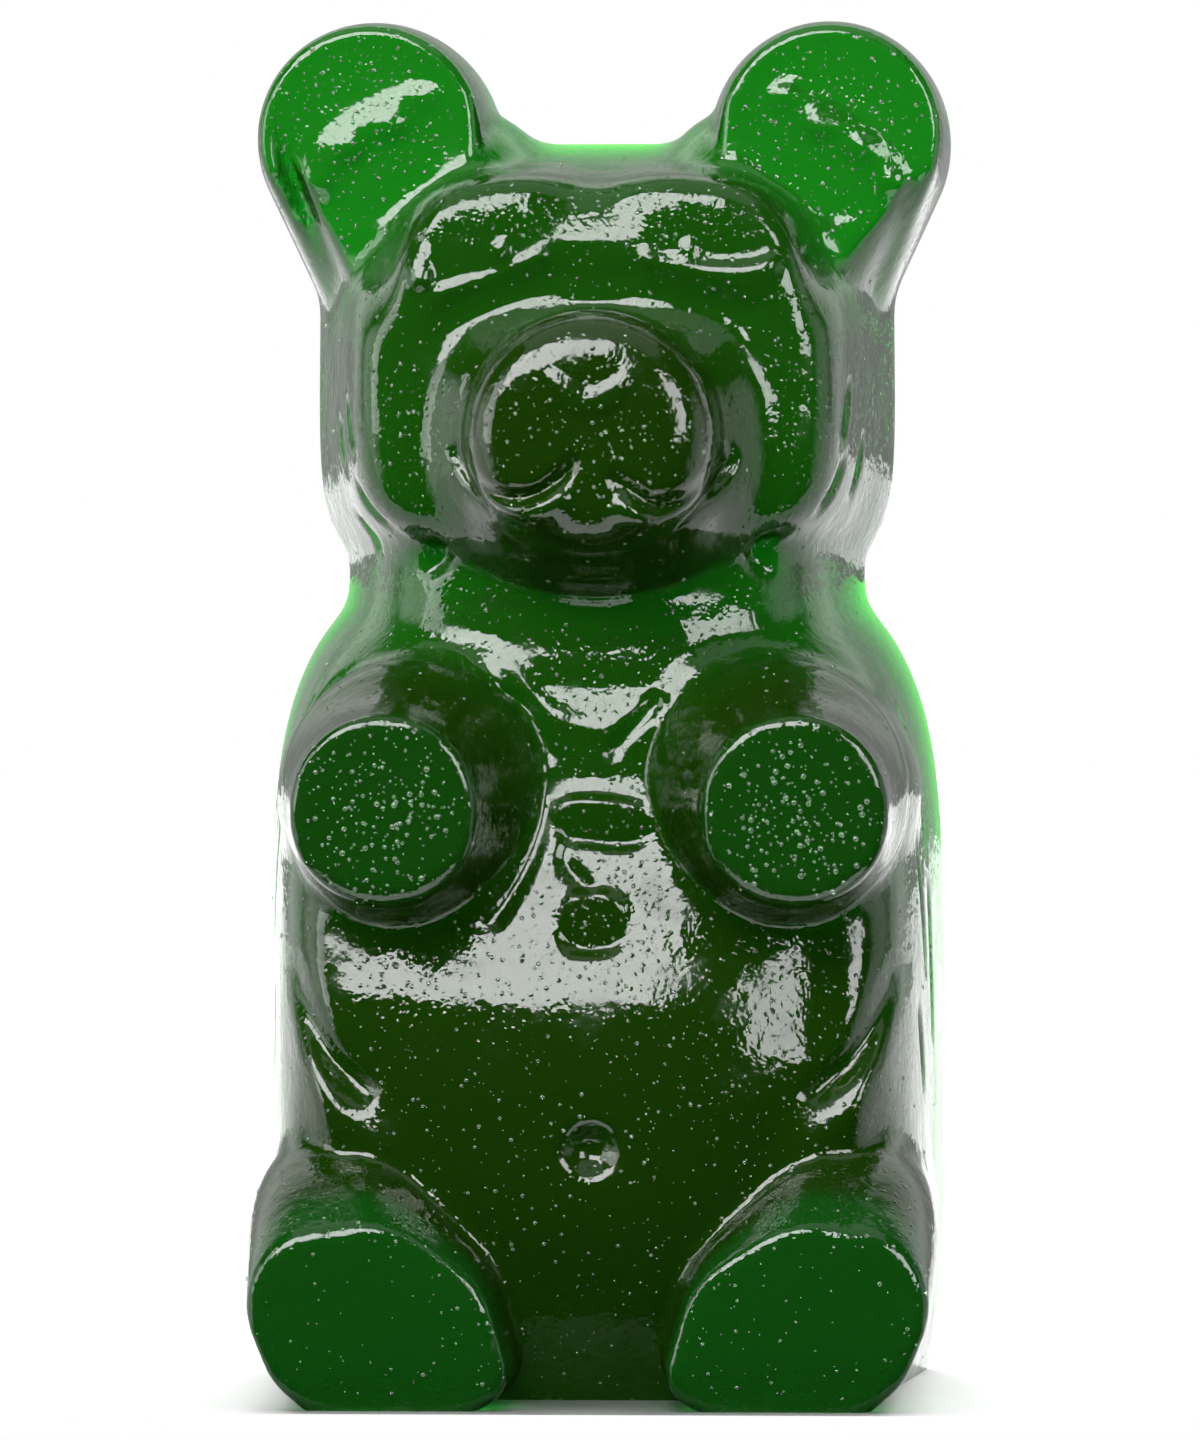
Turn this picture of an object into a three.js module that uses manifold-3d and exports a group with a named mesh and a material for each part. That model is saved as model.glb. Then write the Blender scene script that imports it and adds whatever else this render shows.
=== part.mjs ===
// A giant gummy bear: one piece of green jelly, cast in an open mould. It sits upright, paws and
// soles turned to the front, and its back is the flat face at the mould's mouth.
// Millimetres, +Z up, +X to the right of someone looking at the bear's front, which faces -Y.
// The origin is on the floor, under the middle of the bear.

import * as THREE from "three";
import { mergeVertices } from "three/addons/utils/BufferGeometryUtils.js";
import Module from "manifold-3d";

const wasm = await Module();
wasm.setup();

// Driving sizes. Every place is given by x from the middle, z above the floor, and its reach: how far
// it stands forward of the flat back. The mould walls are drafted, so every form is widest at the back.
const DEPTH = 89;
const BACK = DEPTH / 2;
const TRIM = 600; // a block larger than the bear, for cutting flats

// Squared blocks on the back. The draft is the share of its size that a block loses per millimetre of reach.
const TORSO = { halfWidth: 60.7, z: 58, halfHeight: 88, reach: 57, outline: 4, profile: 7, draft: 0.0022 };
const HEAD = { halfWidth: 51.9, z: 178.5, halfHeight: 41.5, reach: 55, outline: 4, profile: 8, draft: 0.0043 };

// Round swellings. The middle is how far a swelling's widest place lies in front of the back.
const NECK = { x: 0, z: 141, halfWidth: 45.8, halfHeight: 22, reach: 49, middle: 0, profile: 2.6 };
const SHOULDER = { x: 32, z: 103, halfWidth: 24.5, halfHeight: 24, reach: 70, middle: 30, profile: 2.4 };
const HIP = { x: 36.5, z: 26, halfWidth: 22.8, halfHeight: 36, reach: 68, middle: 22, profile: 2.8 };
const SNOUT = { x: 0, z: 163, halfWidth: 33.5, halfHeight: 25.5, reach: 66.5, middle: 32, profile: 2.6 };
const MUZZLE = { x: 0, z: 165.4, halfWidth: 21, halfHeight: 20.6, reach: 77.5, middle: 46, profile: 5 };
const CHIN = { x: 0, z: 155, halfWidth: 26, halfHeight: 17, reach: 70.5, middle: 40, profile: 3 };
const NOSE = { x: 0, z: 171.6, halfWidth: 7, halfHeight: 4.2, reach: 78.6, middle: 74.5, profile: 2.4 };
const MUZZLE_TILT = 0.05; // how much the muzzle leans back per millimetre of height

// The belly swells out between its top and its full height, and the front falls off to both sides.
const BELLY = { rise: 16, top: 106, full: 66, halfWidth: 80, seat: 36, drawnIn: 0.3 };
const FLANK = { from: 16, to: 52, fall: 5, top: 136, full: 116 };
const THROAT = { top: 151, bottom: 136, fall: 7 };
const FACE = { halfWidth: 41, z: 176, halfHeight: 34.5, power: 3, fall: 18, rim: 1.6, from: 182, to: 200 };
const BROW = { x: 18, z: 199.5, halfWidth: 15, halfHeight: 9, rise: 2 };
const PUPIL = { x: 16.4, z: 197.2, radius: 2.4, stand: 0.9, sink: 0.3 };

// Outlines are tight bands around round corners, each given by its x, z and radius.
const EAR = {
  corners: [
    [40.2, 219.2, 21.6],
    [36.5, 193, 14],
  ],
  reach: 36,
  rim: 3,
};
const EAR_ROOT = { x: 24, z: 211.5, halfWidth: 14, halfHeight: 14, reach: 34, middle: 0, profile: 2.4 };
const EAR_DISH = { x: 41, z: 219.6, radius: 17, sink: 1.6 };
const PAW = { x: 34.9, z: 100.6, radius: 15.8, stretch: 1.04, reach: 81, rim: 1.2 };
const ARM = { root: 57, flare: 6.9, power: 1.7, inwards: 0.5, upwards: 0.45 };
const SOLE = {
  corners: [
    [44.2, 16.8, 13.1],
    [43, 12, 12.3],
    [37.5, 13.7, 17.1],
    [31, 11.2, 15.8],
    [20, 6.6, 6.6],
  ],
  rim: 1.4,
};
// A leg grows from the sole back to the hip: its outer side goes out, its inner side in, its top up.
const LEG = { length: 34, inner: 14.6, width: 43, flareOut: 2.2, flareIn: 1.3, flareUp: 0.18, outerUp: 0.42 };

const NAVEL = { z: 43, radius: 4.6, sink: 3 };
const GROOVE = { radius: 1.2, sink: 0.2, points: 12 };
const FLANK_FOLD = [
  [53, 76],
  [46.5, 61],
  [37.5, 51],
];
const UNDER_EYE = [
  [31, 190.5],
  [24, 191],
  [17, 192.5],
  [11, 195],
  [6, 198],
];
const MOUTH = [
  [23, 160.5],
  [20, 156.5],
  [15, 153.8],
  [9.2, 154],
  [4.6, 157.4],
  [2.2, 161],
];

// Nicks in the side walls, like brush strokes of fur: height, reach, length and lean.
const TUFT_WIDTH = 1.3;
const TUFTS = [
  [173, 28, 11, 0.3],
  [161, 28, 11, 0.3],
  [149, 28, 11, 0.3],
  [119, 26, 12, -0.2],
  [100, 22, 22, -0.12],
  [82, 18, 18, 0.1],
  [56, 26, 14, 0.3],
];

// ---- helpers ----

// A point given by x, height and reach, in the bear's frame.
function place(x, z, reach) {
  return new THREE.Vector3(x, BACK - reach, z);
}

// Goes smoothly from 0 at the start to 1 at the end, which may lie below the start.
function ramp(value, start, end) {
  return THREE.MathUtils.smoothstep((value - start) / (end - start), 0, 1);
}

// A manifold-3d solid of a closed three.js geometry.
function solid(geometry) {
  const loose = geometry.index ? geometry.toNonIndexed() : geometry;
  const bare = new THREE.BufferGeometry().setAttribute("position", loose.getAttribute("position"));
  const merged = mergeVertices(bare, 1e-4);
  const corners = merged.index.array;
  const triangles = [];
  for (let i = 0; i < corners.length; i += 3) {
    const [a, b, c] = corners.subarray(i, i + 3);
    if (a !== b && b !== c && c !== a) triangles.push(a, b, c);
  }
  const vertProperties = merged.getAttribute("position").array;
  return new wasm.Manifold(
    new wasm.Mesh({ numProp: 3, vertProperties, triVerts: Uint32Array.from(triangles) }),
  );
}

// The three.js geometry of a manifold-3d solid.
function geometryOf(made) {
  const mesh = made.getMesh();
  const geometry = new THREE.BufferGeometry();
  geometry.setAttribute("position", new THREE.BufferAttribute(mesh.vertProperties, 3));
  geometry.setIndex(new THREE.BufferAttribute(mesh.triVerts, 1));
  return geometry;
}

function joined(solids) {
  return solids.reduce((whole, next) => whole.add(next));
}

function mirrored(made, side) {
  return side < 0 ? made.mirror([1, 0, 0]) : made;
}

// Moves every vertex of a geometry by a function of its place.
function reshape(geometry, move) {
  const spots = geometry.getAttribute("position");
  const p = new THREE.Vector3();
  for (let i = 0; i < spots.count; i++) {
    move(p.fromBufferAttribute(spots, i));
    spots.setXYZ(i, p.x, p.y, p.z);
  }
  return geometry;
}

// A ball swollen towards a box. Its squareness is set apart for the outline seen from the front and
// for the profile from front to back, and is 2 where it is round.
function pebble(form, halfDepth, outline, ball) {
  return reshape(ball, (p) => {
    const across = Math.abs(p.x) ** outline + Math.abs(p.z) ** outline;
    const sum = across ** (form.profile / outline) + Math.abs(p.y) ** form.profile;
    p.multiplyScalar(sum ** (-1 / form.profile));
    p.multiply(new THREE.Vector3(form.halfWidth, halfDepth, form.halfHeight));
  });
}

// A round ball whose rings lie around the line from front to back.
function faceOnBall(around, rings) {
  return new THREE.SphereGeometry(1, around, rings).rotateX(Math.PI);
}

// A ball whose rings lie level, with most of its columns on the front half.
function levelBall(around, rings) {
  const frontShare = 0.84;
  const quarter = Math.PI / 2;
  return reshape(new THREE.SphereGeometry(1, around, rings).rotateX(quarter), (p) => {
    const angle = Math.atan2(p.x, -p.y); // 0 straight ahead
    const share = Math.abs(angle) / Math.PI;
    const onFront = (share / frontShare) * quarter;
    const behind = quarter + ((share - frontShare) / (1 - frontShare)) * quarter;
    const turned = Math.sign(angle) * (share < frontShare ? onFront : behind);
    const width = Math.hypot(p.x, p.y);
    p.set(width * Math.sin(turned), -width * Math.cos(turned), p.z);
  });
}

// A squared block on the flat back, drafted, whose front stands out by a rise at each x and z.
function block(form, rise, around, rings) {
  const slab = pebble(form, form.reach, form.outline, levelBall(around, rings));
  reshape(slab, (p) => {
    const kept = 1 - form.draft * Math.max(0, -p.y);
    p.x *= kept;
    p.z *= kept;
    p.y *= 1 + rise(p.x, p.z + form.z) / form.reach;
  });
  return solid(slab.translate(0, BACK, form.z));
}

// A swelling that comes forward to its reach from a middle that is sunk in the bear.
function swelling(form, around, rings, tilt = 0) {
  const bulge = pebble(form, form.reach - form.middle, 2, faceOnBall(around, rings));
  reshape(bulge, (p) => {
    p.y += tilt * p.z;
  });
  return solid(bulge.translate(...place(form.x, form.z, form.middle).toArray()));
}

// The tight band around round corners, as a shape drawn in x and z.
function band(corners, count) {
  const points = [];
  for (let i = 0; i < count; i++) {
    const turn = (i / count) * 2 * Math.PI;
    const out = new THREE.Vector2(Math.cos(turn), Math.sin(turn));
    const ends = corners.map(([x, z, radius]) => new THREE.Vector2(x, z).addScaledVector(out, radius));
    points.push(ends.reduce((far, end) => (end.dot(out) > far.dot(out) ? end : far)));
  }
  return new THREE.Shape(points);
}

// A shape drawn in x and z, pressed forward from the flat back, with a rounded front rim.
function pressed(shape, reach, rim, steps) {
  const slab = new THREE.ExtrudeGeometry(shape, {
    depth: reach - 2 * rim,
    bevelThickness: rim,
    bevelSize: rim,
    bevelOffset: -rim,
    bevelSegments: 2,
    steps,
  });
  return slab.translate(0, 0, rim).rotateX(Math.PI / 2).translate(0, BACK, 0);
}

// ---- the trunk, the neck and the head ----

function torsoRise(x, z) {
  const across = Math.max(0, 1 - (x / BELLY.halfWidth) ** 2);
  const up = ramp(z, BELLY.top, BELLY.full) * (1 - BELLY.drawnIn * ramp(z, BELLY.seat, 0));
  const flank = FLANK.fall * ramp(Math.abs(x), FLANK.from, FLANK.to) * ramp(z, FLANK.top, FLANK.full);
  return BELLY.rise * across * up - flank;
}

// The face is a plate with round upper corners; outside them the head falls back to the ears.
function cornerFall(x, z) {
  const across = Math.abs(x / FACE.halfWidth) ** FACE.power;
  const up = Math.max(0, (z - FACE.z) / FACE.halfHeight) ** FACE.power;
  return FACE.fall * ramp(across + up, 1, FACE.rim) * ramp(z, FACE.from, FACE.to);
}

function headRise(x, z) {
  const across = (Math.abs(x) - BROW.x) / BROW.halfWidth;
  const up = (z - BROW.z) / BROW.halfHeight;
  const brow = BROW.rise * Math.max(0, 1 - across ** 2 - up ** 2);
  return brow - THROAT.fall * ramp(z, THROAT.top, THROAT.bottom) - cornerFall(x, z);
}

function trunk() {
  return joined([block(TORSO, torsoRise, 38, 28), swelling(NECK, 30, 20), block(HEAD, headRise, 38, 28)]);
}

function ear(side) {
  const flap = pressed(band(EAR.corners, 44), EAR.reach, EAR.rim, 1);
  const dish = faceOnBall(28, 8).scale(EAR_DISH.radius, EAR_DISH.sink, EAR_DISH.radius);
  dish.translate(...place(EAR_DISH.x, EAR_DISH.z, EAR.reach).toArray());
  const root = swelling({ ...EAR_ROOT, x: side * EAR_ROOT.x }, 18, 12);
  return joined([mirrored(solid(flap).subtract(solid(dish)), side), root]);
}

// ---- the snout, the nose and the eyes ----

function snout() {
  const muzzle = swelling(MUZZLE, 32, 18, MUZZLE_TILT);
  return joined([swelling(SNOUT, 32, 16), swelling(CHIN, 28, 14), muzzle, swelling(NOSE, 20, 10)]);
}

function pupil(surface, side) {
  const dot = faceOnBall(12, 8).scale(PUPIL.radius, PUPIL.stand, PUPIL.radius);
  return solid(dot.translate(...onFront(surface, side * PUPIL.x, PUPIL.z, -PUPIL.sink).toArray()));
}

// ---- the arms: each swells from the shoulder and ends in a flat round paw that faces forward ----

// How much an arm has grown in radius at a reach, from the paw back to the shoulder.
function armGrowth(reach) {
  return ARM.flare * THREE.MathUtils.clamp((PAW.reach - reach) / (PAW.reach - ARM.root), 0, 1) ** ARM.power;
}

function arm(side) {
  const { radius, reach, rim } = PAW;
  const section = new THREE.Path();
  section.moveTo(0, 0);
  section.lineTo(radius + ARM.flare, 0);
  const stations = 6;
  for (let i = 0; i <= stations; i++) {
    const along = THREE.MathUtils.lerp(ARM.root, reach - rim, i / stations);
    section.lineTo(radius + armGrowth(along), along);
  }
  section.quadraticCurveTo(radius, reach, radius - rim, reach);
  section.lineTo(0, reach);
  const limb = new THREE.LatheGeometry(section.getPoints(2), 36).rotateX(Math.PI);
  reshape(limb, (p) => {
    const grown = armGrowth(-p.y);
    p.x -= ARM.inwards * grown; // the outer wall stays straight, and the arm widens towards the chest
    p.z = p.z * PAW.stretch + ARM.upwards * grown;
  });
  limb.translate(...place(PAW.x, PAW.z, 0).toArray());
  return joined([mirrored(solid(limb), side), swelling({ ...SHOULDER, x: side * SHOULDER.x }, 24, 14)]);
}

// ---- the legs: each swells from the hip and ends in a broad flat sole, standing on the floor ----

function leg(side) {
  const limb = reshape(pressed(band(SOLE.corners, 40), DEPTH, SOLE.rim, 6), (p) => {
    const behind = Math.min(1, (p.y + BACK) / LEG.length); // 0 at the sole, 1 at the hip
    const swell = Math.sin((behind * Math.PI) / 2);
    const out = (p.x - LEG.inner) / LEG.width;
    p.x += swell * THREE.MathUtils.lerp(-LEG.flareIn, LEG.flareOut, out);
    p.z *= 1 + swell * (LEG.flareUp + LEG.outerUp * THREE.MathUtils.clamp(out, 0, 1));
  });
  return joined([mirrored(solid(limb), side), swelling({ ...HIP, x: side * HIP.x }, 24, 14)]);
}

// ---- what is engraved: the navel, folds and creases, and the tufts of fur down both sides ----

// Where a ray that starts outside the bear first meets its surface.
function firstHit(surface, origin, direction) {
  return new THREE.Raycaster(origin, direction).intersectObject(surface)[0].point;
}

// The point on the bear's front at x and z, moved forward by a height.
function onFront(surface, x, z, height) {
  const hit = firstHit(surface, new THREE.Vector3(x, -TRIM, z), new THREE.Vector3(0, 1, 0));
  return hit.add(new THREE.Vector3(0, -height, 0));
}

// The point on the bear's left or right wall at z and a reach.
function onWall(surface, side, z, reach) {
  const origin = place(side * TRIM, z, reach);
  return firstHit(surface, origin, new THREE.Vector3(-side, 0, 0));
}

function navel(surface) {
  const cup = new THREE.SphereGeometry(NAVEL.radius, 16, 10);
  return solid(cup.translate(...onFront(surface, 0, NAVEL.z, NAVEL.radius - NAVEL.sink).toArray()));
}

// A rounded groove along a line that is drawn in x and z for the right side and laid on the surface.
function groove(surface, side, line) {
  const drawn = new THREE.CatmullRomCurve3(line.map(([x, z]) => new THREE.Vector3(side * x, 0, z)));
  const route = drawn.getPoints(GROOVE.points).map((p) => onFront(surface, p.x, p.z, -GROOVE.sink));
  const ring = new THREE.Shape().absarc(0, 0, GROOVE.radius, 0, 2 * Math.PI);
  const cutter = new THREE.ExtrudeGeometry(ring, {
    steps: GROOVE.points,
    curveSegments: 3,
    bevelEnabled: false,
    extrudePath: new THREE.CatmullRomCurve3(route),
  });
  return solid(cutter);
}

// A nick in a side wall.
function tuft(surface, side, z, reach, length, lean) {
  const nick = new THREE.SphereGeometry(1, 8, 6).scale(TUFT_WIDTH, TUFT_WIDTH, length / 2);
  nick.rotateX(lean);
  return solid(nick.translate(...onWall(surface, side, z, reach).toArray()));
}

function engraving(surface, side) {
  const grooves = [FLANK_FOLD, UNDER_EYE, MOUTH].map((line) => groove(surface, side, line));
  const nicks = TUFTS.map(([z, reach, length, lean]) => tuft(surface, side, z, reach, length, lean));
  return [...grooves, ...nicks];
}

// ---- the bear ----

function bear() {
  const masses = [trunk(), snout()];
  for (const side of [-1, 1]) masses.push(ear(side), arm(side), leg(side));
  let made = joined(masses);
  const surface = new THREE.Mesh(geometryOf(made));
  made = joined([made, pupil(surface, -1), pupil(surface, 1)]);
  const engraved = [navel(surface), ...engraving(surface, -1), ...engraving(surface, 1)];
  for (const cut of engraved) made = made.subtract(cut);
  const cutter = new THREE.BoxGeometry(TRIM, TRIM, TRIM);
  const behind = cutter.clone().translate(0, BACK + TRIM / 2, 0);
  const below = cutter.clone().translate(0, 0, -TRIM / 2);
  return made.subtract(solid(behind)).subtract(solid(below));
}

const jelly = new THREE.MeshStandardMaterial({ color: "#0f5a0c", roughness: 0.12, metalness: 0 });
const mesh = new THREE.Mesh(geometryOf(bear()), jelly);
mesh.name = "gummy_bear";

const group = new THREE.Group();
group.add(mesh);
export default group;
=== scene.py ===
import math

import bpy
import numpy as np
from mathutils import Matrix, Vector


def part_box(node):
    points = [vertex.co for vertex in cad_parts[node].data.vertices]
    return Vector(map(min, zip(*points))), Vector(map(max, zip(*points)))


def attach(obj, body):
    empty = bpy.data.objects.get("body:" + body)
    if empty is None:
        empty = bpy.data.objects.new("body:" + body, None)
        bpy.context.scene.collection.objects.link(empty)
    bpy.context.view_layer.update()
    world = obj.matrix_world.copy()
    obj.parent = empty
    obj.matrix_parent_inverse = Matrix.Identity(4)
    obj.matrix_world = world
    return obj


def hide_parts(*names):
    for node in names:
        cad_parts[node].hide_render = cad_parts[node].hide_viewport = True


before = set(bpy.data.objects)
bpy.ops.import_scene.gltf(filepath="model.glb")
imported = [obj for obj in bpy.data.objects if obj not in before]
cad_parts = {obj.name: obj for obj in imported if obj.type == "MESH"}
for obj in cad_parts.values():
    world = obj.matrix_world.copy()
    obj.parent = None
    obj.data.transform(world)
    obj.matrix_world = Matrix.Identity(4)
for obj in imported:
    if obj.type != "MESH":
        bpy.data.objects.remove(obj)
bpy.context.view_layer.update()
bpy.ops.object.select_all(action="DESELECT")


# ---- Jelly body: the soft masses ----
# One casting of green gelatine jelly, flat at the back where the mould was open. Trunk, head, neck and the base
# of the snout are balls swollen into drafted blocks, widest at the back, with a soft relief on their fronts.
# Rounder swellings make shoulders, ear roots and hips. Sizes are in millimetres.

MM = 0.001
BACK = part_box("gummy_bear")[1].y / MM  # where the flat back stands

# Outline and profile are powers: the higher, the squarer. The draft is how much it narrows per millimetre.
TORSO = dict(half_width=60.7, z=58.0, half_height=88.0, reach=57.0, outline=4.0, profile=7, draft=0.0022)
HEAD = dict(half_width=51.9, z=178.5, half_height=41.5, reach=55.0, outline=4.1, profile=14, draft=0.0038)
NECK = dict(half_width=46.5, z=139, half_height=20, reach=50, outline=3.5, profile=5, draft=0.0045)
SNOUT_BASE = dict(half_width=39, z=164.5, half_height=29, reach=66, outline=3, profile=3, draft=0)
BELLY_RISE = 16
BELLY_SPREAD = 88
FLANK_RISE = 5
FACE_PLATE = dict(x=0.8, z=176, half_width=35, height=33.5)  # its middle, and its round top above that
FACE_FALL = 17  # how far its upper corners lie behind it
CHIN_RELIEF = [(0, 154, 34, 18, 3)]  # x, z, half width, half height, rise
SWELLINGS = [
    # name, x, z, half width, half height, reach, middle, fullness
    ("shoulder", 32, 103, 24.5, 24, 70, 30, 2.4),
    ("ear_root", 24, 211.5, 14, 14, 34, 0, 2.4),
    ("hip", 36.5, 26, 22.8, 36, 68, 22, 2.8),
]
MASS_VOXEL = 1.6


def ramp(value, start, end):
    """Goes smoothly from 0 at the start to 1 at the end."""
    t = np.clip((value - start) / (end - start), 0, 1)
    return t * t * (3 - 2 * t)


def slope(value, start, end, share=0.25):
    """Goes from 0 at the start to 1 at the end in a straight slope with rounded ends."""
    t = np.clip((value - start) / (end - start), 0, 1)
    low = np.minimum(t, 1 - t)
    rounded = np.where(low < share, low * low / (2 * share), low - share / 2) / (1 - share)
    return np.where(t < 0.5, rounded, 1 - rounded)


def relief_at(relief, x, z):
    """How far a relief stands out at x and z, the same on both sides of the middle."""
    out = np.zeros(len(x))
    for form_x, form_z, half_width, half_height, rise in relief:
        across = (np.abs(x) - form_x) / half_width
        up = (z - form_z) / half_height
        out += rise * np.clip(1 - across**2 - up**2, 0, None) ** 2
    return out


def torso_relief(x, z):
    """The belly swells out below the chest, steeply and then gently, and draws in towards the seat."""
    across = np.clip(1 - (x / BELLY_SPREAD) ** 2, 0, None) ** 1.1
    swell = 0.8 * slope(z, 110, 66, 0.12) + 0.2 * slope(z, 80, 50, 0.5)
    drawn_in = 1 - 0.3 * ramp(z, 36, 0)
    belly = BELLY_RISE * across * swell * drawn_in
    hollow = 2 * ramp(np.abs(x), 16, 40)
    flanks = FLANK_RISE * ramp(np.abs(x), 36, 52)
    return belly - hollow + flanks


def head_relief(x, z):
    """The face is a plate with round upper corners and a dip between the brows, set back under the chin."""
    outline = ((x - FACE_PLATE["x"]) / FACE_PLATE["half_width"]) ** 4
    outline += (np.clip(z - FACE_PLATE["z"], 0, None) / FACE_PLATE["height"]) ** 3
    outline += 0.3 * np.exp(-((x / 7) ** 2)) * ramp(z, 196, 206)  # the dip
    corners = FACE_FALL * ramp(outline, 1, 1.7) * ramp(z, 182, 200)
    under_chin = 9 * ramp(z, 151, 136)
    return relief_at(CHIN_RELIEF, x, z) - under_chin - corners


def no_relief(x, z):
    return np.zeros(len(x))


def points_of(piece):
    """The places of a mesh's vertices, in millimetres."""
    flat = np.empty(len(piece.data.vertices) * 3)
    piece.data.vertices.foreach_get("co", flat)
    return flat.reshape(-1, 3) / MM


def set_points(piece, points):
    piece.data.vertices.foreach_set("co", (points * MM).ravel())
    piece.data.update()


def squared_ball(name, form, relief):
    """A block whose middle lies in the back's plane, narrower towards its front, with a relief worked in."""
    bpy.ops.mesh.primitive_uv_sphere_add(segments=192, ring_count=128, radius=MM)
    piece = bpy.context.object
    piece.name = name
    points = points_of(piece)
    across = np.abs(points[:, 0]) ** form["outline"] + np.abs(points[:, 2]) ** form["outline"]
    total = across ** (form["profile"] / form["outline"]) + np.abs(points[:, 1]) ** form["profile"]
    points *= (total ** (-1 / form["profile"]))[:, None]
    points *= (form["half_width"], form["reach"], form["half_height"])
    points[:, [0, 2]] *= (1 + form["draft"] * points[:, 1].clip(None, 0))[:, None]
    points[:, 2] += form["z"]
    points[:, 1] *= 1 + relief(points[:, 0], points[:, 2]) / form["reach"]
    points[:, 1] += BACK
    set_points(piece, points)
    return piece


def soft_ball(name, x, z, half_width, half_height, reach, middle, fullness):
    """A swelling whose middle lies the given distance in front of the back."""
    bpy.ops.mesh.primitive_uv_sphere_add(segments=128, ring_count=96, radius=MM)
    piece = bpy.context.object
    piece.name = name
    points = points_of(piece)
    total = np.hypot(points[:, 0], points[:, 2]) ** fullness + np.abs(points[:, 1]) ** fullness
    points *= (total ** (-1 / fullness))[:, None]
    points *= (half_width, reach - middle, half_height)
    points += (x, BACK - middle, z)
    set_points(piece, points)
    return piece


def fused(pieces, voxel, smoothing):
    """Joins closed forms into one skin of even faces and smooths it."""
    bpy.ops.object.select_all(action="DESELECT")
    for piece in pieces:
        piece.select_set(True)
    whole = pieces[0]
    bpy.context.view_layer.objects.active = whole
    bpy.ops.object.join()
    fuse = whole.modifiers.new("fuse", "REMESH")
    fuse.mode = "VOXEL"
    fuse.voxel_size = voxel * MM
    bpy.ops.object.modifier_apply(modifier=fuse.name)
    ease = whole.modifiers.new("ease", "SMOOTH")
    ease.factor = 0.5
    ease.iterations = smoothing
    bpy.ops.object.modifier_apply(modifier=ease.name)
    return whole


masses = [
    squared_ball("torso", TORSO, torso_relief),
    squared_ball("head", HEAD, head_relief),
    squared_ball("neck", NECK, no_relief),
    squared_ball("snout_base", SNOUT_BASE, no_relief),
]
for side in (-1, 1):
    for name, x, *sizes in SWELLINGS:
        masses.append(soft_ball(name, side * x, *sizes))
body = fused(masses, MASS_VOXEL, smoothing=7)


# ---- Jelly body: ears, arms and legs ----
# Each is drawn as an outline of round corners and pressed forward from the back, ring by ring, as its mould
# wall is drafted. Paws and soles end in flat faces with a tight rim.

BEHIND = 12  # how far behind the back the pressed outlines start, to be cut off
EAR_OUTLINE = [(40.2, 219.2, 21.6), (36.5, 193, 14)]  # round corners: x, z, radius
EAR_MIDDLE = (41.0, 212.0)  # x, z of the point that it narrows towards
EAR_REACH = 36
EAR_RIM = 2.5
PAW_OUTLINE = [(34.9, 99.9, 15.8), (34.9, 101.3, 15.8)]
PAW_MIDDLE = (34.9, 100.6)
PAW_REACH = 81
ARM_GROWTH = 6.9  # how much wider the arm is all round at the shoulder
SOLE_OUTLINE = [(44.2, 16.8, 13.1), (43, 12, 12.3), (37.5, 13.7, 17.1), (31, 11.2, 15.8), (20, 6.6, 6.6)]
SOLE_INSIDE = 14.6  # where the sole's inner side is, from the middle
SOLE_WIDTH = 43
SOLE_REACH = 88.7
RIM = 1.5


def outline_points(corners, count):
    """Evenly turned points around the tight band that encloses the round corners."""
    turns = np.linspace(0, 2 * math.pi, count, endpoint=False)
    outward = np.stack([np.cos(turns), np.sin(turns)], axis=1)
    corners = np.array(corners, float)
    far = outward @ corners[:, :2].T + corners[:, 2]
    chosen = corners[far.argmax(axis=1)]
    return chosen[:, :2] + outward * chosen[:, 2:]


def pressed(name, side, corners, reach, rim, flare):
    """An outline pressed forward from behind the back to its reach, with a rounded front rim."""
    count = 128
    steps = 20
    bpy.ops.mesh.primitive_circle_add(vertices=count, radius=MM, fill_type="NGON")
    piece = bpy.context.object
    piece.name = name
    ring = outline_points(corners, count)
    set_points(piece, np.stack([side * ring[:, 0], np.full(count, BACK + BEHIND), ring[:, 1]], axis=1))
    bpy.ops.object.mode_set(mode="EDIT")
    bpy.ops.mesh.select_all(action="SELECT")
    stride = (reach + BEHIND) / steps * MM
    for step in range(steps):
        bpy.ops.mesh.extrude_region_move(TRANSFORM_OT_translate={"value": (0, -stride, 0)})
    bpy.ops.mesh.bevel(offset=rim * MM, segments=4)
    bpy.ops.object.mode_set(mode="OBJECT")
    points = points_of(piece)
    points[:, 0] *= side  # a flare is worked out for the right side
    flare(points, np.clip(BACK - points[:, 1], 0, None))
    points[:, 0] *= side
    set_points(piece, points)
    bpy.ops.object.mode_set(mode="EDIT")
    bpy.ops.mesh.select_all(action="SELECT")
    bpy.ops.mesh.normals_make_consistent(inside=False)
    bpy.ops.object.mode_set(mode="OBJECT")
    return piece


def ear_flare(points, reach):
    """The ear narrows a little towards its front and dies away down the head's side."""
    fall = 22 * ramp(points[:, 2], 214, 188) * ramp(points[:, 0], 34, 50)
    points[:, 1] += fall * np.clip(reach / EAR_REACH, 0, 1)
    taper = 1 - 0.1 * (reach / EAR_REACH) ** 2
    points[:, 0] = EAR_MIDDLE[0] + (points[:, 0] - EAR_MIDDLE[0]) * taper
    points[:, 2] = EAR_MIDDLE[1] + (points[:, 2] - EAR_MIDDLE[1]) * taper


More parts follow.
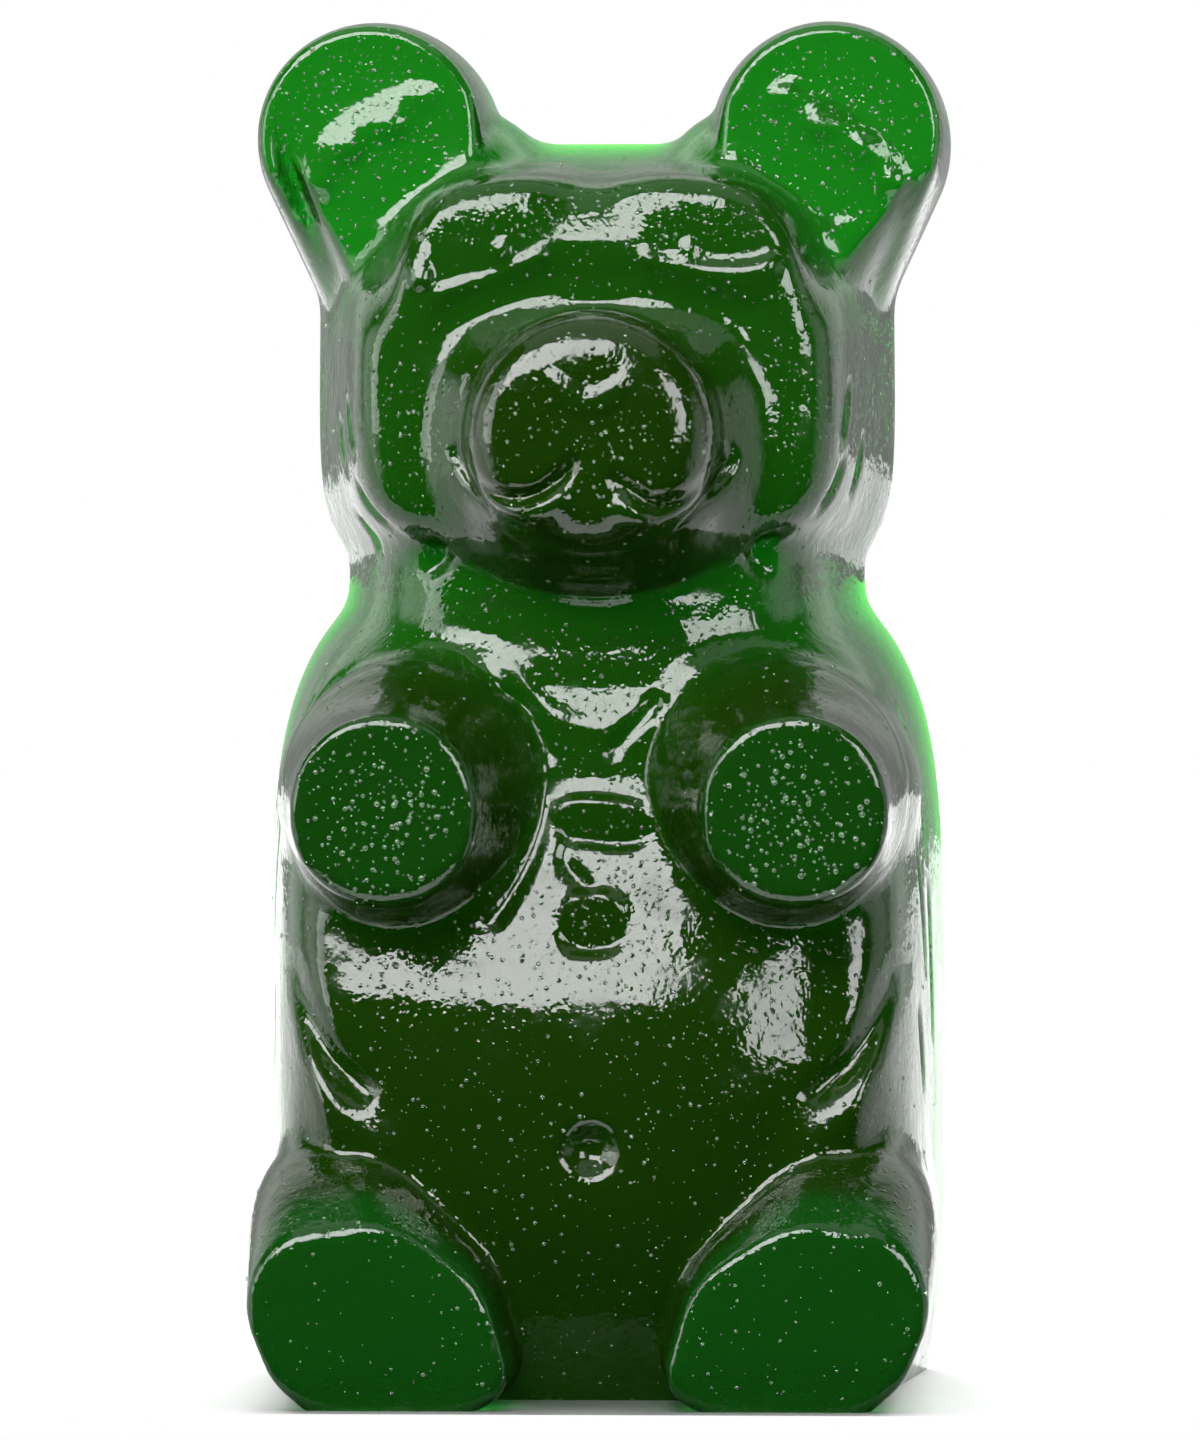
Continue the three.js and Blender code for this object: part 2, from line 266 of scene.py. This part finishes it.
def arm_flare(points, reach):
    """The arm widens from the paw to the shoulder, more towards the chest than outwards."""
    grown = ARM_GROWTH * np.clip((PAW_REACH - reach) / 24, 0, 1) ** 1.7
    radius = np.hypot(points[:, 0] - PAW_MIDDLE[0], points[:, 2] - PAW_MIDDLE[1])
    scale = 1 + grown / np.maximum(radius, 1e-6) * (radius > 1)
    points[:, 0] = PAW_MIDDLE[0] + (points[:, 0] - PAW_MIDDLE[0]) * scale - 0.5 * grown
    points[:, 2] = PAW_MIDDLE[1] + (points[:, 2] - PAW_MIDDLE[1]) * scale + 0.45 * grown


def leg_flare(points, reach):
    """The leg rises from the sole to the hip, most on its outer side."""
    swell = np.sin(np.clip((SOLE_REACH - reach) / 34, 0, 1) * math.pi / 2)
    out = (points[:, 0] - SOLE_INSIDE) / SOLE_WIDTH
    points[:, 0] += 2.2 * swell * (1.6 * out - 0.6)
    points[:, 2] *= 1 + 0.6 * swell * (0.3 + 0.7 * np.clip(out, 0, 1))


limbs = []
for side in (-1, 1):
    limbs.append(pressed("ear", side, EAR_OUTLINE, EAR_REACH, EAR_RIM, ear_flare))
    limbs.append(pressed("arm", side, PAW_OUTLINE, PAW_REACH, RIM, arm_flare))
    limbs.append(pressed("leg", side, SOLE_OUTLINE, SOLE_REACH, RIM, leg_flare))


# ---- Jelly body: the snout ----
# A full, round muzzle stands forward of the face over a softer chin, both on the broad base made above. The
# muzzle leans back a little, so that it looks upwards.

MUZZLE_LEAN = 0.03  # how far it goes back for each millimetre up
MUZZLE_HEIGHT = 165.4

muzzle = soft_ball("muzzle", 0, 165.2, 22.2, 21.6, reach=77.5, middle=46, fullness=5.5)
points = points_of(muzzle)
points[:, 1] += MUZZLE_LEAN * (points[:, 2] - MUZZLE_HEIGHT)
set_points(muzzle, points)
limbs.append(muzzle)
limbs.append(soft_ball("chin", 0, 155, 27, 19, reach=70.5, middle=36, fullness=2.5))


# ---- Jelly body: fused, eased where forms meet, and cut flat ----
# Paws, soles and snout keep their rims; the neck and the roots of the ears and arms are worked smooth. What
# lies behind the back and below the floor is cut away.

SKIN_VOXEL = 0.99
SOFT_SPOTS = [
    # x, z, half width, half height
    (0, 138, 90, 17),  # neck
    (22, 217, 14, 8),  # ears' inner roots
    (41, 206, 9, 9),  # ears' front roots
    (48, 192, 15, 18),  # ears' outer roots
    (34, 128, 34, 12),  # tops of the arms
    (58, 52, 14, 22),  # outsides of the hips
    (30, 84, 36, 9),  # undersides of the arms
    (31, 168, 8, 18),  # sides of the snout
]
SOFT_LEVELS = 10

bear = fused([body, *limbs], SKIN_VOXEL, smoothing=4)
bear.name = "jelly_bear"
points = points_of(bear)
softness = relief_at([(*spot, 1) for spot in SOFT_SPOTS], points[:, 0], points[:, 2]).clip(0, 1) ** 0.5
soft = bear.vertex_groups.new(name="soft")
for level in range(1, SOFT_LEVELS + 1):
    at_level = np.flatnonzero(np.round(softness * SOFT_LEVELS) == level)
    soft.add(at_level.tolist(), level / SOFT_LEVELS, "REPLACE")
ease = bear.modifiers.new("ease", "SMOOTH")
ease.factor = 0.5
ease.iterations = 50
ease.vertex_group = soft.name
bpy.ops.object.modifier_apply(modifier=ease.name)
bear.vertex_groups.clear()

bpy.ops.object.mode_set(mode="EDIT")
for cut_place, cut_away in (((0, BACK * MM, 0), (0, 1, 0)), ((0, 0, 0), (0, 0, -1))):
    bpy.ops.mesh.select_all(action="SELECT")
    bpy.ops.mesh.bisect(plane_co=cut_place, plane_no=cut_away, use_fill=True, clear_outer=True)
bpy.ops.object.mode_set(mode="OBJECT")
bpy.ops.object.shade_smooth_by_angle(angle=math.radians(40))


# ---- Jelly body: features worked into the front ----
# Each feature moves the front skin straight forwards or back: a raised plate, a ridge or groove along a curve,
# or a step on one side of a curve. The two sides differ a little, as the casting's do.

TERRACE_LEAN = 0.32  # how far a terrace comes forward for each millimetre of its height


def normals_of(piece):
    """The directions that a mesh's vertices face."""
    flat = np.empty(len(piece.data.vertices) * 3)
    piece.data.vertices.foreach_get("normal", flat)
    return flat.reshape(-1, 3)


points = points_of(bear)
facing = np.clip(-normals_of(bear)[:, 1] * 2, 0, 1)  # 1 on the front, 0 on walls and back
rise = np.zeros(len(points))
X, Z = points[:, 0], points[:, 2]


def plate(x, z, half_width, half_height, height, rim):
    """A raised oval with a flat top, or a sunken one for a height below zero."""
    radius = np.hypot((X - x) / half_width, (Z - z) / half_height)
    edge = np.clip((1 - radius) / rim, 0, 1)
    rise[:] += height * edge * edge * (3 - 2 * edge)


def oval(x, z, half_width, half_height, rim, turn):
    """1 inside a squarish oval, falling to 0 at its outline."""
    along = np.abs((X - x) * math.cos(turn) + (Z - z) * math.sin(turn)) / half_width
    up = np.abs((Z - z) * math.cos(turn) - (X - x) * math.sin(turn)) / half_height
    return ramp((along**3 + up**3) ** (1 / 3), 1, 1 - rim)


def middle_band(half_width):
    """1 along the bear's middle, falling to 0 past the half width."""
    return np.exp(-((X / half_width) ** 4))


def curve(corners):
    """A smooth line of about 60 points through the corners."""
    corners = np.array(corners, float)
    padded = np.vstack([2 * corners[0] - corners[1], corners, 2 * corners[-1] - corners[-2]])
    line = []
    for k in range(len(corners) - 1):
        before, start, end, after = padded[k : k + 4]
        for t in np.linspace(0, 1, 60 // (len(corners) - 1), endpoint=False):
            bend = (2 * before - 5 * start + 4 * end - after) * t**2
            swing = (3 * start - before - 3 * end + after) * t**3
            line.append(0.5 * (2 * start + (end - before) * t + bend + swing))
    line.append(corners[-1])
    return np.array(line)


def ridge(corners, height, width, power=2, taper=0.25):
    """A rounded ridge along a curve, or a groove for a height below zero, dying away at both ends."""
    line = curve(corners)
    low_corner = line.min(axis=0) - 3 * width
    high_corner = line.max(axis=0) + 3 * width
    beside = (X > low_corner[0]) & (X < high_corner[0])
    level_with = (Z > low_corner[1]) & (Z < high_corner[1])
    near = np.flatnonzero(beside & level_with)
    gap = np.hypot(X[near, None] - line[:, 0], Z[near, None] - line[:, 1])
    along = gap.argmin(axis=1) / (len(line) - 1)
    fade = np.clip(np.minimum(along, 1 - along) / taper, 0.0, 1) ** 0.5
    rise[near] += height * fade * np.exp(-((gap.min(axis=1) / width) ** power))


def ledge(corners, height, width, fall=11, spread=1000, ends=2):
    """Below a curve the skin comes forward in a slope of the given width, and sinks back again further down."""
    line = curve(corners)
    below = np.interp(X, line[:, 0], line[:, 1]) - Z
    inside = ramp(X, line[0, 0] - 1, line[0, 0] + ends) * ramp(X, line[-1, 0] + 1, line[-1, 0] - ends)
    inside *= middle_band(spread)
    rise[:] += height * inside * slope(below, 0, width) * (1 - ramp(below, width, fall))


# Each eye is a low oval between a ledge below it and the rim of the face above; the brow dips between them.
rise -= 1.7 * middle_band(8.0) * slope(Z, 198.3, 204)
rise -= 0.6 * middle_band(10.0) * slope(Z, 203, 206)
ledge([(-30, 191), (-23.8, 192.8), (-18.7, 194), (-13.5, 196.4), (-8, 199.4)], 0.9, 2)
ledge([(7, 199), (12, 197.4), (18, 196.6), (26.6, 196.6), (32, 198.5)], 1.4, 3.2)
rise += oval(-30.3, 195, 2.4, 5.4, 0.4, 0.1) * TERRACE_LEAN * (198 - Z)  # the brow's outer end
for side in (-1, 1):
    plate(side * 16.1, 197.0, 2.3, 2.3, 0.7, 0.5)  # pupil

# Ears are shallow dishes with a swirl of beads; below the belly's sides run a fold and a soft step.
for side in (-1, 1):
    plate(side * 41.0, 219.6, 19.0, 19.0, -0.8, 0.25)
    swirl = [(side * x, z) for x, z in ((31, 227), (37.5, 221.5), (45, 217.5), (50.5, 211.5), (55.5, 205))]
    ridge(swirl, 1.3, 3.5)
    for x, z in swirl:
        plate(x + 1, z - 1.5, 4.2, 3.4, 0.8, 1.0)
    ridge([(side * 53, 76), (side * 46.5, 61), (side * 37.5, 51)], -2.5, 2.2)
    under_fold = [(side * x, z) for x, z in ((30, 50), (40, 56), (46, 62), (54, 78))]
    ledge(under_fold[::side], 2.6, 11, 26, ends=9)  # its curve runs from left to right

# The bridge of the nose steps forward, and a shallow hollow runs over the snout from cheek to cheek.
rise += 0.6 * middle_band(8.5) * slope(Z, 195, 191) * (1 - ramp(Z, 190, 186))
hollow = [(-28, 184), (-18, 189), (-9, 191.5), (0, 190), (9, 191.5), (18, 189), (28, 184)]
ridge(hollow, -0.8, 3.2, 4, 0.1)

# The nose is an oval plate whose top is cut off in a wide V.
nose_oval = (1 - np.hypot(X / 7.6, (Z - 175) / 7.8)) / 0.2
nose_top = (172.4 + 0.5 * np.abs(X) - Z) / 1.8
rise += 0.7 * ramp(np.minimum(nose_oval, nose_top), 0, 1)

# The mouth is two hanging grooves, each with a full lip below it.
ridge([(-24.5, 163.8), (-20.2, 157.3), (-15.1, 154.4), (-9.2, 154.6), (-4.6, 157.8), (-1.9, 161.7)], -2.4, 1.1)
ridge([(-24, 160.5), (-19.5, 153.8), (-14, 150.9), (-8.5, 151.2), (-3.5, 155)], 2.0, 2.4)
ridge([(3.2, 158), (7.8, 154.6), (11.7, 152.6), (17.2, 154.6), (22.3, 159.4), (24.3, 163)], -2.4, 1.2)
ridge([(4, 153.5), (8, 150.3), (12, 148.4), (18, 150.4), (24, 157)], 2.5, 2.9)

# The throat bulges over a hanging collar.
rise += 3.2 * middle_band(19) * slope(Z, 121, 134) * (1 - ramp(Z, 135, 143))
collar = [(-27, 133), (-20.7, 132), (-15, 129.6), (-11.5, 126), (-8.5, 122), (-2.5, 119.2), (3, 118.4)]
collar += [(6.7, 120), (10.3, 123), (15.1, 127.6), (21.3, 131.8), (26, 133.4)]
ledge(collar, 0.85, 4.2, 12, 19)

# The chest has creases in its fur and two terraces; the navel is a round hollow.
ridge([(-19, 122), (-11.4, 118), (-7.2, 109)], -1.6, 1.3)
ridge([(11, 121), (9.5, 118), (4.5, 112.6), (2.6, 109.4)], -1.6, 1.3)
ridge([(-7.6, 107), (-9.2, 97), (-12.5, 89), (-18, 80)], -1.3, 1.5)
ridge([(-6.2, 99.6), (-4.0, 96), (-4.8, 92), (-1, 87), (1.5, 82)], -0.9, 1.0)
rise += oval(1.5, 98.6, 9.4, 4.8, 0.25, -0.1) * TERRACE_LEAN * (Z - 98.6)
rise += oval(0, 81.6, 6.4, 6.2, 0.3, 0) * TERRACE_LEAN * (Z - 81.6)
plate(0, 43, 6.5, 6, -3.2, 0.9)

points[:, 1] -= rise * facing
set_points(bear, points)


# ---- Jelly body: nicks of fur in the side walls ----
# Each is a short groove pressed into a wall along its own normal, deepest half way. Then the skin is laid flush
# with the flat back and the floor again.

NICKS = [
    # side, reach and height of both ends, depth
    (-1, 40, 172, 44, 163, 1.6),
    (-1, 30, 169, 33, 161, 1.2),
    (-1, 42, 157, 45, 150, 1.6),
    (-1, 50, 147, 46, 142, 2.0),
    (-1, 30, 152, 32, 146, 1.2),
    (1, 40, 175, 44, 164, 1.6),
    (1, 42, 161, 45, 153, 1.8),
    (1, 49, 148, 46, 142, 2.0),
    (1, 28, 166, 31, 156, 1.2),
    (-1, 44, 125, 40, 114, 1.6),
    (-1, 36, 122, 32, 112, 1.2),
    (1, 30, 118, 24, 92, 1.2),
    (1, 36, 96, 30, 72, 1.0),
    (1, 24, 88, 20, 60, 1.2),
    (1, 40, 66, 34, 52, 1.0),
    (-1, 26, 100, 22, 78, 1.0),
    (-1, 32, 70, 28, 54, 1.0),
]
NICK_WIDTH = 1.3
NICK_ENDS = 0.3  # how deep its ends are, as a share of its depth

points = points_of(bear)
outward = normals_of(bear)
for side, start_reach, start_z, end_reach, end_z, depth in NICKS:
    start = np.array([BACK - start_reach, start_z])
    run = np.array([BACK - end_reach, end_z]) - start
    from_start = points[:, 1:] - start
    share = np.clip(from_start @ run / (run @ run), 0, 1)
    gap = np.linalg.norm(from_start - share[:, None] * run, axis=1)
    on_wall = (side * points[:, 0] > 20) & (side * outward[:, 0] > 0.25)
    deep = depth * np.exp(-((gap / NICK_WIDTH) ** 2)) * on_wall * (4 * share * (1 - share) + NICK_ENDS)
    points -= outward * deep[:, None]
points[:, 1] = points[:, 1].clip(None, BACK)
points[:, 2] = points[:, 2].clip(0, None)
set_points(bear, points)


# ---- Jelly body: its material ----
# Clear green gelatine that swallows red first, so thin ears glow green and the thick belly is nearly black. Its
# base colour is painted by depth: painted shade darkens the snout and belly, and the soles and paw faces are
# painted brighter, as if lit through. A fine grain, slow waves and patches of haze break up its shine.

PAINTED_LIGHT_AND_SHADE = [
    # place from front to back as a share of the shaded depth, painted colour
    (0.12, (0.08, 1.0, 0.07, 1)),  # soles, and the faces of the paws: painted brighter, as if lit through
    (0.17, (0.13, 0.52, 0.02, 1)),  # snout and belly: painted shade
    (0.3, (0.13, 0.52, 0.02, 1)),
    (0.5, (0.14, 1.0, 0.06, 1)),  # face, ears and walls
]
PAINTED_SHADING_DEPTH = 50  # how far the painted shading reaches in front of the middle and behind it

jelly = bpy.data.materials.new("green_jelly")
jelly.use_nodes = True
nodes, links = jelly.node_tree.nodes, jelly.node_tree.links
shader = nodes["Principled BSDF"]
shader.inputs["IOR"].default_value = 1.4
shader.inputs["Transmission Weight"].default_value = 0.972

skin = bpy.data.node_groups.new("sugared_skin", "ShaderNodeTree")
skin.interface.new_socket("Roughness", in_out="OUTPUT", socket_type="NodeSocketFloat")
skin.interface.new_socket("Normal", in_out="OUTPUT", socket_type="NodeSocketVector")
outcome = skin.nodes.new("NodeGroupOutput")
skin_place = skin.nodes.new("ShaderNodeTexCoord")


def skin_noise(scale, detail):
    noise = skin.nodes.new("ShaderNodeTexNoise")
    noise.inputs["Scale"].default_value = scale
    noise.inputs["Detail"].default_value = detail
    skin.links.new(skin_place.outputs["Object"], noise.inputs["Vector"])
    return noise


def skin_range(source, low, high, to_low, to_high):
    """Turns the values between low and high into those between the other two."""
    spread = skin.nodes.new("ShaderNodeMapRange")
    spread.inputs["From Min"].default_value = low
    spread.inputs["From Max"].default_value = high
    spread.inputs["To Min"].default_value = to_low
    spread.inputs["To Max"].default_value = to_high
    skin.links.new(source, spread.inputs["Value"])
    return spread


def skin_bump(height, distance, before=None):
    """A bump of the given distance, on top of the one before it."""
    bump = skin.nodes.new("ShaderNodeBump")
    bump.inputs["Strength"].default_value = 1.0
    bump.inputs["Distance"].default_value = distance
    skin.links.new(height, bump.inputs["Height"])
    if before:
        skin.links.new(before.outputs["Normal"], bump.inputs["Normal"])
    return bump


waves = skin_bump(skin_noise(scale=60, detail=1).outputs["Fac"], 0.6 * MM)
ripples = skin_bump(skin_noise(scale=420, detail=2).outputs["Fac"], 0.13 * MM, waves)
grains = skin.nodes.new("ShaderNodeTexVoronoi")
grains.inputs["Scale"].default_value = 620
skin.links.new(skin_place.outputs["Object"], grains.inputs["Vector"])
grain_height = skin_range(grains.outputs["Distance"], 0.0, 0.28, 1.0, 0.0)
fine = skin_bump(grain_height.outputs["Result"], 0.07 * MM, ripples)
haze = skin_range(skin_noise(scale=130, detail=3).outputs["Fac"], 0.45, 0.7, 0.05, 0.16)
skin.links.new(haze.outputs["Result"], outcome.inputs["Roughness"])
skin.links.new(fine.outputs["Normal"], outcome.inputs["Normal"])
skin_node = nodes.new("ShaderNodeGroup")
skin_node.node_tree = skin
links.new(skin_node.outputs["Roughness"], shader.inputs["Roughness"])
links.new(skin_node.outputs["Normal"], shader.inputs["Normal"])

place = nodes.new("ShaderNodeTexCoord")
place_split = nodes.new("ShaderNodeSeparateXYZ")
links.new(place.outputs["Object"], place_split.inputs["Vector"])
# The base colour is painted by depth: painted shade over the snout and belly, painted brightness on soles and
# paws.
depth_share = nodes.new("ShaderNodeMapRange")
depth_share.inputs["From Min"].default_value = -PAINTED_SHADING_DEPTH * MM
depth_share.inputs["From Max"].default_value = PAINTED_SHADING_DEPTH * MM
links.new(place_split.outputs["Y"], depth_share.inputs["Value"])
painted_shading_ramp = nodes.new("ShaderNodeValToRGB")
stops = painted_shading_ramp.color_ramp.elements
stops.remove(stops[1])
stops[0].position, stops[0].color = PAINTED_LIGHT_AND_SHADE[0]
for share, colour in PAINTED_LIGHT_AND_SHADE[1:]:
    stops.new(share).color = colour
links.new(depth_share.outputs["Result"], painted_shading_ramp.inputs["Fac"])
links.new(painted_shading_ramp.outputs["Color"], shader.inputs["Base Color"])

gel = nodes.new("ShaderNodeVolumeAbsorption")
gel.inputs["Color"].default_value = (0.05, 0.7, 0.65, 1)
gel.inputs["Density"].default_value = 265
links.new(gel.outputs["Volume"], nodes["Material Output"].inputs["Volume"])
bear.data.materials.append(jelly)
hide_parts("gummy_bear")
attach(bear, "root")


# ---- Droplets on the skin ----
# Beads of clear syrup, most of them well under a millimetre across, thickest on brows and paws. Each is a low
# dome of eight sides, sunk a little into the jelly, at a place that chance picks on the front.

DROPLETS = 3600
AROUND = 8
PAWS = (35, 100, 17, 18, 5)
DROPLET_PATCHES = [
    # x, z, half width, half height, how much denser than elsewhere
    PAWS,
    (41, 219, 20, 20, 3),  # ears
    (14, 203, 22, 8, 5),  # brows
    (0, 165, 24, 22, 1.5),  # muzzle
    (38, 170, 10, 30, 2),  # cheeks
    (0, 85, 30, 26, 3),  # chest
    (40, 14, 24, 22, -0.8),  # soles
]
ASIDE = 0.45  # how far a droplet is moved off its face's middle
SMALLEST = 0.15
LARGER = 0.32  # how much more radius the largest has
PAW_SCALE = 1.3
TOP = 0.6  # how far a droplet stands out, as a share of its radius
RINGS = [(35, 0.47), (65, 0.2), (90, -0.25)]  # degrees down from the top, height as a share of its radius

faces = bear.data.polygons


def face_values(kind, width):
    """One kind of value of every face of the bear's skin."""
    flat = np.empty(len(faces) * width)
    faces.foreach_get(kind, flat)
    return flat.reshape(-1, width)


dice = np.random.default_rng(11)
centres = face_values("center", 3) / MM
face_normals = face_values("normal", 3)
dense = 1 + relief_at(DROPLET_PATCHES, centres[:, 0], centres[:, 2])
chance = face_values("area", 1)[:, 0] * dense * np.clip(-face_normals[:, 1], 0, 1) ** 2
chance *= (np.abs(centres[:, 0]) < 60.5) & (centres[:, 1] < 43)
chance *= (centres[:, 2] > 2) & (centres[:, 2] < 239)
chosen = dice.choice(len(faces), DROPLETS, replace=False, p=chance / chance.sum())
up = face_normals[chosen]
aside = np.cross(up, dice.normal(size=(DROPLETS, 3)))
middles = centres[chosen] + ASIDE * aside
radii = SMALLEST + LARGER * dice.random(DROPLETS) ** 3
on_paw = relief_at([PAWS], middles[:, 0], middles[:, 2]) > 0.6
radii *= np.where(on_paw, PAW_SCALE, 1.0)
room = (middles[:, 1] + BACK - 0.05).clip(0.02, None)  # up to the foremost plane of the soles
tall = np.minimum(radii, room / TOP)

across = np.cross(up, (0.3, 0.1, 1.0))
across /= np.linalg.norm(across, axis=1)[:, None]
along = np.cross(up, across)
turns = np.linspace(0, 2 * math.pi, AROUND, endpoint=False)
corners = [middles + up * (TOP * tall)[:, None]]
for tilt, height in RINGS:
    wide = radii * math.sin(math.radians(tilt))
    for turn in turns:
        offset = across * math.cos(turn) + along * math.sin(turn)
        corners.append(middles + offset * wide[:, None] + up * (height * tall)[:, None])
bead = []
for k in range(AROUND):
    after = (k + 1) % AROUND
    bead.append((0, 1 + k, 1 + after))
    for ring in (1, 1 + AROUND):
        bead.append((ring + k, ring + AROUND + k, ring + AROUND + after, ring + after))
bead.append(tuple(1 + 2 * AROUND + k for k in reversed(range(AROUND))))
places = np.stack(corners, axis=1).reshape(-1, 3) * MM
bead_faces = [tuple(len(corners) * n + k for k in face) for n in range(DROPLETS) for face in bead]
bead_mesh = bpy.data.meshes.new("syrup_droplets")
bead_mesh.from_pydata(places.tolist(), [], bead_faces)
bead_mesh.shade_smooth()
droplets = bpy.data.objects.new("syrup_droplets", bead_mesh)
bpy.context.scene.collection.objects.link(droplets)

syrup = bpy.data.materials.new("clear_syrup")
syrup.use_nodes = True
clear = syrup.node_tree.nodes["Principled BSDF"]
clear.inputs["Base Color"].default_value = (0.8, 0.92, 0.78, 1)
clear.inputs["Roughness"].default_value = 0.06
clear.inputs["IOR"].default_value = 1.4
clear.inputs["Transmission Weight"].default_value = 0.94
droplets.data.materials.append(syrup)
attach(droplets, "root")


# ---- Floor ----
# A matt white studio floor under the bear and far behind it. It starts just in front of the soles, so that the
# low softbox can shine past its front edge.

FLOOR_SIZE = 20
FLOOR_FRONT = -0.05

bpy.ops.mesh.primitive_plane_add(size=FLOOR_SIZE, location=(0, FLOOR_SIZE / 2 + FLOOR_FRONT, 0))
floor = bpy.context.object
floor.name = "studio_floor"
white = bpy.data.materials.new("white_floor")
white.use_nodes = True
paint = white.node_tree.nodes["Principled BSDF"]
paint.inputs["Base Color"].default_value = (0.95, 0.95, 0.95, 1)
paint.inputs["Roughness"].default_value = 0.9
floor.data.materials.append(white)


# ---- Glow all around ----
# The world is plain white to the camera. The jelly's surface mirrors glows at both sides and behind the bear,
# and light that passes through the jelly comes from another glow, close behind it.

world = bpy.data.worlds.new("studio")
bpy.context.scene.world = world
world.use_nodes = True
sky = world.node_tree
directions = sky.nodes.new("ShaderNodeTexCoord")
split = sky.nodes.new("ShaderNodeSeparateXYZ")
sky.links.new(directions.outputs["Generated"], split.inputs["Vector"])


def sky_glow(axis, start, full, radiance):
    """A glow that fades in between two places along one axis of the directions around the bear."""
    glow = sky.nodes.new("ShaderNodeMapRange")
    glow.interpolation_type = "SMOOTHSTEP"
    glow.inputs["From Min"].default_value = start
    glow.inputs["From Max"].default_value = full
    glow.inputs["To Max"].default_value = radiance
    sky.links.new(split.outputs[axis], glow.inputs["Value"])
    return glow


def sky_math(operation, first, second):
    """Adds or multiplies two glows."""
    both = sky.nodes.new("ShaderNodeMath")
    both.operation = operation
    sky.links.new(first.outputs[0], both.inputs[0])
    sky.links.new(second.outputs[0], both.inputs[1])
    return both


both_sides = sky_math("ADD", sky_glow("X", -0.85, -0.97, 2.6), sky_glow("X", 0.85, 0.97, 1.4))
side_glow = sky_math("MULTIPLY", sky_glow("Y", 0.6, 0.1, 1), both_sides)  # not behind the bear
back_glow = sky_math("ADD", sky_glow("Y", 0.3, 0.6, 1.4), sky_glow("Y", 0.75, 0.92, -0.97))  # dim in its middle
mirrored = sky_math("ADD", back_glow, side_glow)
behind = sky_math("ADD", sky_glow("Y", 0.6, 0.85, 0.3), sky_glow("Y", 0.86, 0.98, 2.4))
ray = sky.nodes.new("ShaderNodeLightPath")
by_bear = sky.nodes.new("ShaderNodeMix")
sky.links.new(ray.outputs["Is Transmission Ray"], by_bear.inputs["Factor"])
sky.links.new(mirrored.outputs[0], by_bear.inputs["A"])
sky.links.new(behind.outputs[0], by_bear.inputs["B"])
seen = sky.nodes.new("ShaderNodeMix")
sky.links.new(ray.outputs["Is Camera Ray"], seen.inputs["Factor"])
sky.links.new(by_bear.outputs["Result"], seen.inputs["A"])
seen.inputs["B"].default_value = 1.0
background = sky.nodes["Background"]
background.inputs["Color"].default_value = (1, 1, 1, 1)
sky.links.new(seen.outputs["Result"], background.inputs["Strength"])


# ---- Lamps ----
# Five softboxes light only the bear and its droplets. The key one draws the highlights on brows, snout and
# belly, the side ones those on the walls, the low one the edges that face down. A soft sun lights the floor.

lit_pieces = bpy.data.collections.new("lit_by_softboxes")
lit_pieces.objects.link(bear)
lit_pieces.objects.link(droplets)


def softbox(name, place, aim_height, width, height, radiance):
    """A rectangular soft light, aimed at the bear's middle, as bright as the given radiance."""
    light = bpy.data.lights.new(name, "AREA")
    light.shape = "RECTANGLE"
    light.size = width
    light.size_y = height
    light.energy = radiance * width * height * math.pi
    lamp = bpy.data.objects.new(name, light)
    bpy.context.scene.collection.objects.link(lamp)
    lamp.light_linking.receiver_collection = lit_pieces
    lamp.location = place
    aim = Vector((0, 0, aim_height))
    lamp.rotation_euler = (aim - lamp.location).to_track_quat("-Z", "Y").to_euler()


# name, place, height of the aim, width, height, radiance
softbox("key_softbox", (-0.4, -0.9, 0.95), 0.12, 1.2, 0.6, 17)
softbox("left_softbox", (-1.1, -0.5, 0.5), 0.12, 0.5, 0.8, 6)
softbox("right_softbox", (0.78, -0.95, 0.57), 0.12, 0.46, 0.62, 13)
softbox("overhead_softbox", (0, -0.2, 1.3), 0.12, 1.6, 1.2, 0.9)
softbox("low_softbox", (0, -0.38, -0.6), 0.15, 1.2, 0.4, 3.2)

floor_light = bpy.data.lights.new("floor_light", "SUN")
floor_light.energy = 5.2
floor_light.angle = 1.3
floor_lamp = bpy.data.objects.new("floor_light", floor_light)
bpy.context.scene.collection.objects.link(floor_lamp)
floor_lamp.rotation_euler = (math.radians(-32), 0, 0)
stage_pieces = bpy.data.collections.new("lit_by_floor_light")
stage_pieces.objects.link(floor)
floor_lamp.light_linking.receiver_collection = stage_pieces


# ---- Camera ----
# It stands level with the bear's waist, a little to the right, and its shift sets the bear where it belongs in
# the frame.

CAMERA_AZIMUTH = math.radians(2.3)
CAMERA_DISTANCE = 1.3
CAMERA_HEIGHT = 0.114
SENSOR = 36
PIXEL = 0.1738 * MM  # a pixel's width at the bear's middle
FRAME_HEIGHT = 1440
FRAME_CENTRE = (600, 720)
MIDDLE_AT = (597, 733)  # where the bear's middle and the camera's height fall in the frame

camera_data = bpy.data.cameras.new("camera")
camera = bpy.data.objects.new("camera", camera_data)
bpy.context.scene.collection.objects.link(camera)
camera.location = (
    math.sin(CAMERA_AZIMUTH) * CAMERA_DISTANCE,
    -math.cos(CAMERA_AZIMUTH) * CAMERA_DISTANCE,
    CAMERA_HEIGHT,
)
camera.rotation_euler = (math.pi / 2, 0, CAMERA_AZIMUTH)
camera_data.sensor_width = SENSOR
camera_data.lens = SENSOR * CAMERA_DISTANCE / (FRAME_HEIGHT * PIXEL)
camera_data.shift_x = -(MIDDLE_AT[0] - FRAME_CENTRE[0]) / FRAME_HEIGHT
camera_data.shift_y = (MIDDLE_AT[1] - FRAME_CENTRE[1]) / FRAME_HEIGHT
bpy.context.scene.camera = camera
bpy.context.scene.view_settings.view_transform = "Standard"
